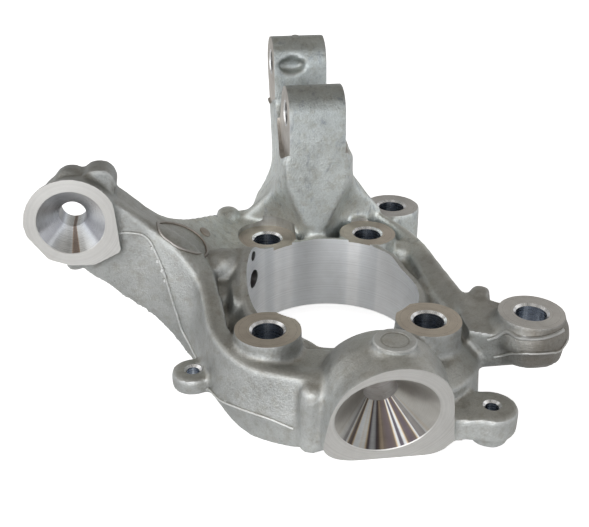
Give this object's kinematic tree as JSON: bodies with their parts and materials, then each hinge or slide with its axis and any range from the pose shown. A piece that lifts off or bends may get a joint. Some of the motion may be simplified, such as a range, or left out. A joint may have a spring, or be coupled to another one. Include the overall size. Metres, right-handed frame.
{
  "type": "steering knuckle",
  "caption": "Cast aluminium steering knuckle with hub bore and bolt seats, strut clamp tower, steering arm with taper, ball joint boss and brake caliper ears.",
  "frame": {"origin": "hub bore axis where it meets the machined hub face on the outboard side", "axes": "+Z inboard along the bore, +Y up on the car towards the strut, X fore and aft with the steering arm at -X"},
  "size_m": [0.2575, 0.2308, 0.1426],
  "materials": {
    "cast_aluminium": "shot-blasted casting with machined seats and tapers"
  },
  "bodies": {
    "root": {"knuckle": "cast_aluminium"}
  },
  "joints": []
}
